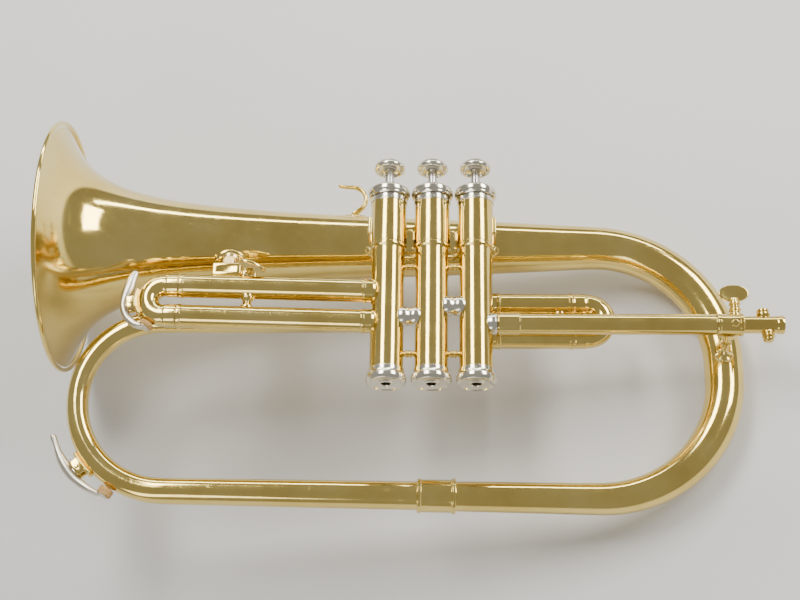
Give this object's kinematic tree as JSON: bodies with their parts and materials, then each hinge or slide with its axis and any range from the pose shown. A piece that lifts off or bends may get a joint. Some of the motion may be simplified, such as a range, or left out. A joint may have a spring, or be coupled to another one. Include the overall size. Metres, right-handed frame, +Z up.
{
  "type": "flugelhorn",
  "caption": "Brass wind instrument with a wide conical bell, piston valves, pull-out slides, a sliding mouthpipe and water keys, lying on its side.",
  "frame": {"origin": "centre of the bounding box at its bottom, on the table the instrument lies on", "axes": "+X from the bell towards the mouthpiece receiver, +Y from the bow towards the finger buttons, +Z up from the table"},
  "size_m": [0.4374, 0.2446, 0.1511],
  "materials": {
    "brass": "clear-lacquered polished brass",
    "nickel": "polished nickel silver",
    "monel": "lapped monel",
    "spring_steel": "bare spring wire",
    "felt": "dense wool felt",
    "cork": "natural cork"
  },
  "bodies": {
    "instrument": {"bell": "brass", "bell_rim_bead": "brass", "bow_ferrule": "brass", "bottom_bow": "brass", "valve_casing_1": "brass", "top_cap_1": "nickel", "bottom_cap_1": "nickel", "piston_spring_1": "spring_steel", "valve_casing_2": "brass", "top_cap_2": "nickel", "bottom_cap_2": "nickel", "piston_spring_2": "spring_steel", "valve_casing_3": "brass", "top_cap_3": "nickel", "bottom_cap_3": "nickel", "piston_spring_3": "spring_steel", "knuckle_3_2": "nickel", "brace_rod_upper_3_2": "brass", "brace_rod_lower_3_2": "brass", "knuckle_2_1": "nickel", "brace_rod_upper_2_1": "brass", "brace_rod_lower_2_1": "brass", "bell_bracket_left": "brass", "bell_bracket_right": "brass", "third_slide_sleeves": "brass", "first_slide_sleeves": "brass", "second_slide_sleeve_upper": "brass", "second_slide_sleeve_lower": "brass", "leadpipe_knuckle": "nickel", "leadpipe_sleeve": "brass", "clamp_ring": "brass", "leadpipe_brace": "brass", "lyre_box": "brass", "finger_hook": "brass", "water_key_pin_bow": "brass", "water_key_saddle_bow": "brass"},
    "valve_1": {"piston_1": "monel", "finger_button_1": "nickel", "button_felt_1": "felt"},
    "valve_2": {"piston_2": "monel", "finger_button_2": "nickel", "button_felt_2": "felt"},
    "valve_3": {"piston_3": "monel", "finger_button_3": "nickel", "button_felt_3": "felt"},
    "third_slide": {"third_slide_bow": "brass", "water_key_saddle_third_slide": "brass", "water_key_pin_third_slide": "brass"},
    "third_slide_key": {"water_key_lever_third_slide": "nickel", "water_key_pad_third_slide": "cork"},
    "bow_key": {"water_key_lever_bow": "nickel", "water_key_pad_bow": "cork"},
    "first_slide": {"first_slide_bow": "brass"},
    "second_slide": {"second_slide_bow": "brass"},
    "mouthpipe": {"mouthpipe": "brass"},
    "clamp_screw": {"clamp_screw": "brass"},
    "lyre_screw": {"lyre_screw": "brass"}
  },
  "joints": [
    {"name": "valve_1_press", "type": "slide", "parent": "instrument", "child": "valve_1", "axis": [0.0011, -1, 0.0065], "range_m": [0, 0.012], "stiffness_N_per_m": 130, "springref_m": -0.014, "deforming": ["piston_spring_1"]},
    {"name": "valve_2_press", "type": "slide", "parent": "instrument", "child": "valve_2", "axis": [0.0011, -1, 0.0065], "range_m": [0, 0.012], "stiffness_N_per_m": 130, "springref_m": -0.014, "deforming": ["piston_spring_2"]},
    {"name": "valve_3_press", "type": "slide", "parent": "instrument", "child": "valve_3", "axis": [0.0011, -1, 0.0065], "range_m": [0, 0.012], "stiffness_N_per_m": 130, "springref_m": -0.014, "deforming": ["piston_spring_3"]},
    {"name": "third_slide_pull", "type": "slide", "parent": "instrument", "child": "third_slide", "axis": [-0.9861, 0.0262, 0.1644], "range_m": [0, 0.028]},
    {"name": "first_slide_pull", "type": "slide", "parent": "instrument", "child": "first_slide", "axis": [0.9864, 0, -0.1646], "range_m": [0, 0.022]},
    {"name": "second_slide_pull", "type": "slide", "parent": "instrument", "child": "second_slide", "axis": [-0.1646, -0.0066, -0.9863], "range_m": [0, 0.01]},
    {"name": "mouthpipe_tune", "type": "slide", "parent": "instrument", "child": "mouthpipe", "axis": [0.9864, 0, -0.1646], "range_m": [-0.006, 0.03]},
    {"name": "third_slide_key_open", "type": "hinge", "parent": "third_slide", "child": "third_slide_key", "pos_m": [-0.14891, -0.00784, 0.10044], "axis": [-0.1646, -0.0066, -0.9863], "range_deg": [0, 9], "stiffness_Nm_per_rad": 0.08, "springref_deg": -28.65},
    {"name": "bow_key_open", "type": "hinge", "parent": "instrument", "child": "bow_key", "pos_m": [-0.17838, -0.09958, 0.08324], "axis": [-0.1646, -0.0066, -0.9863], "range_deg": [0, 12], "stiffness_Nm_per_rad": 0.1, "springref_deg": -28.65},
    {"name": "clamp_screw_turn", "type": "hinge", "parent": "instrument", "child": "clamp_screw", "pos_m": [0.19135, -0.01145, 0.04217], "axis": [-0.0011, 1, -0.0065], "range_deg": [0, 360]},
    {"name": "lyre_screw_turn", "type": "hinge", "parent": "instrument", "child": "lyre_screw", "pos_m": [-0.08538, 0.01472, 0.0831], "axis": [0.4529, 0.0063, 0.8915], "range_deg": [-20, 20]}
  ]
}
